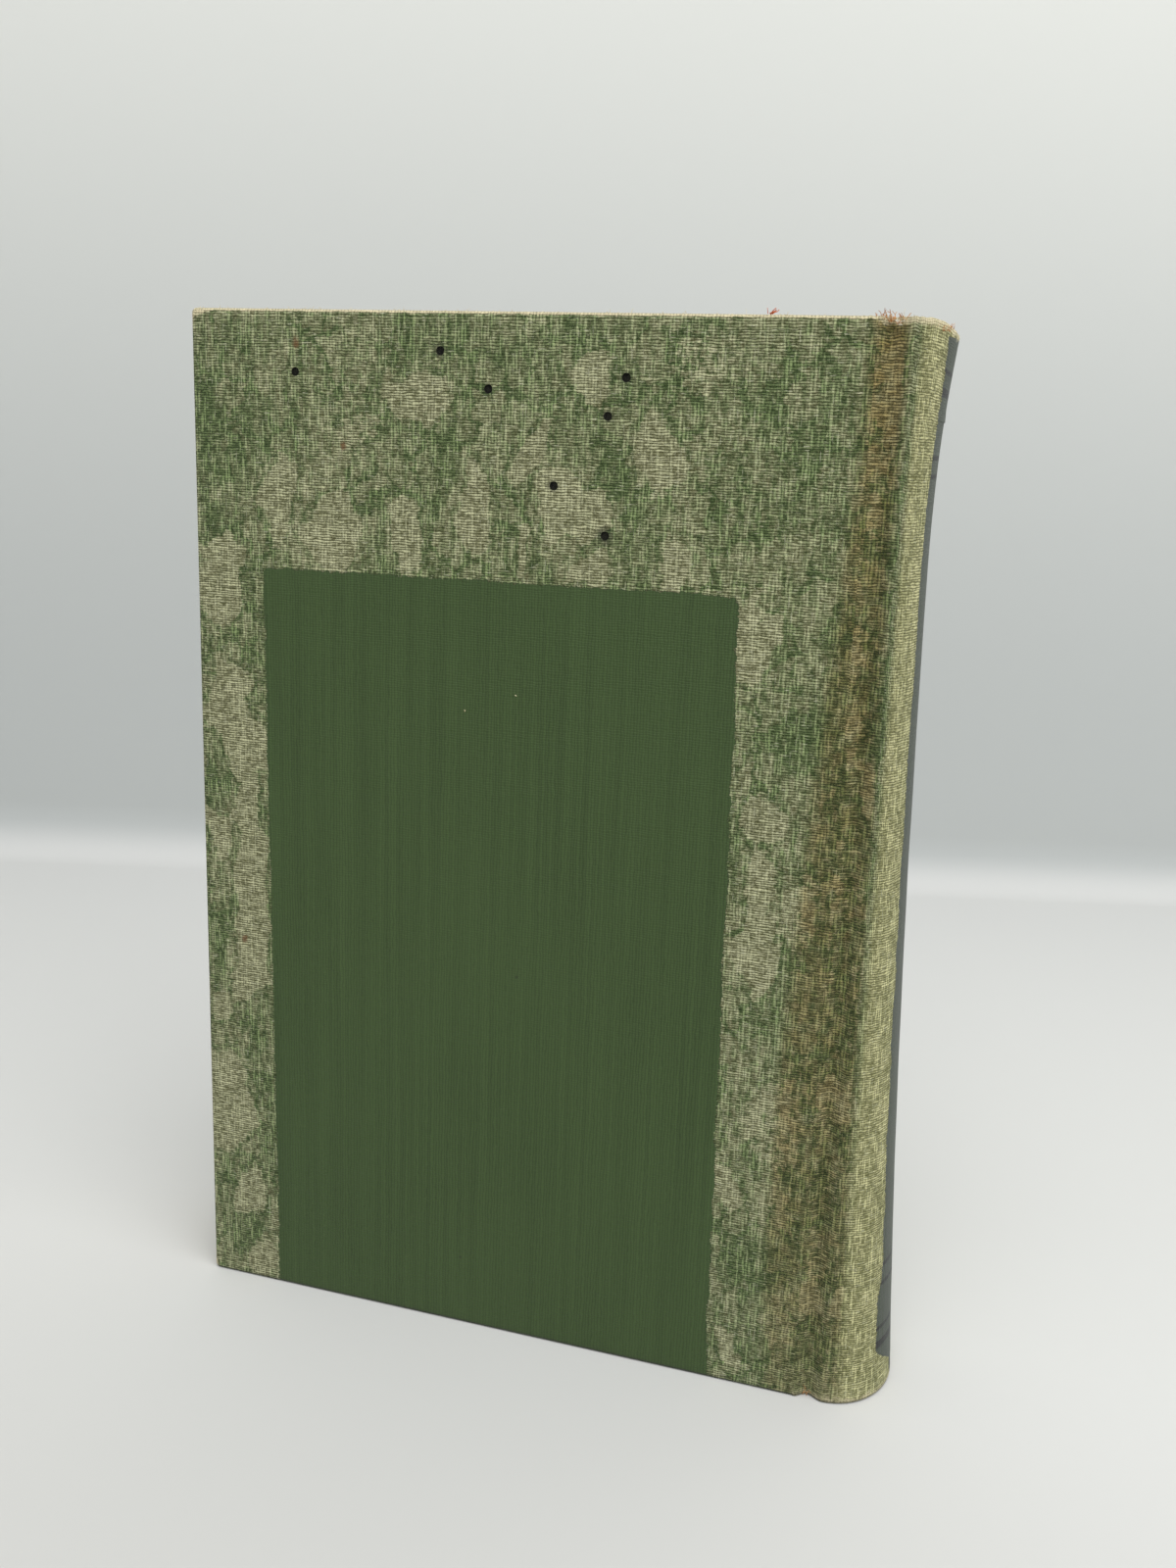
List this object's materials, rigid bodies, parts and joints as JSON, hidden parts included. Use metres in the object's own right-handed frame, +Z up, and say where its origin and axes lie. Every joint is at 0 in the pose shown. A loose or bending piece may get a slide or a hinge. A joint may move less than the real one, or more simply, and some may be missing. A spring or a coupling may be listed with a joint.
{
  "type": "hardback book",
  "caption": "Small cloth-bound hardback book with a rounded, hollow-backed spine, a closed block of pages and two covers that open on its joints.",
  "frame": {"origin": "on the floor under the middle of the closed book's box, with the book standing on its tail", "axes": "+Z up from tail to head, +X from the fore-edge to the spine, -Y out of the back cover and +Y out of the front cover"},
  "size_m": [0.1368, 0.026, 0.19],
  "materials": {
    "book_cloth": "woven cotton, faded and worn, matt",
    "greyboard": "matt, fibrous",
    "page_paper": "matt, age-toned",
    "endpaper": "matt, age-toned",
    "mull_gauze": "open starched weave, matt",
    "lining_paper": "matt kraft paper",
    "spine_card": "matt",
    "sewing_thread": "matt linen"
  },
  "bodies": {
    "book_block": {"text_block": "page_paper", "sewing_thread": "sewing_thread", "spine_mull": "mull_gauze", "spine_lining": "lining_paper", "front_flyleaf": "endpaper", "back_flyleaf": "endpaper", "spine_inlay": "spine_card", "spine_cloth": "book_cloth"},
    "front_cover": {"front_board": "greyboard", "front_cloth": "book_cloth", "front_mull_flange": "mull_gauze", "front_pastedown": "endpaper"},
    "back_cover": {"back_board": "greyboard", "back_cloth": "book_cloth", "back_mull_flange": "mull_gauze", "back_pastedown": "endpaper"}
  },
  "joints": [
    {"name": "back_cover_hinge", "type": "hinge", "parent": "book_block", "child": "back_cover", "pos_m": [0.05507, -0.0135, 0.095], "axis": [0, 0, 1], "range_deg": [0, 180]},
    {"name": "front_cover_hinge", "type": "hinge", "parent": "book_block", "child": "front_cover", "pos_m": [0.05507, 0.0135, 0.095], "axis": [0, 0, -1], "range_deg": [0, 180]}
  ]
}
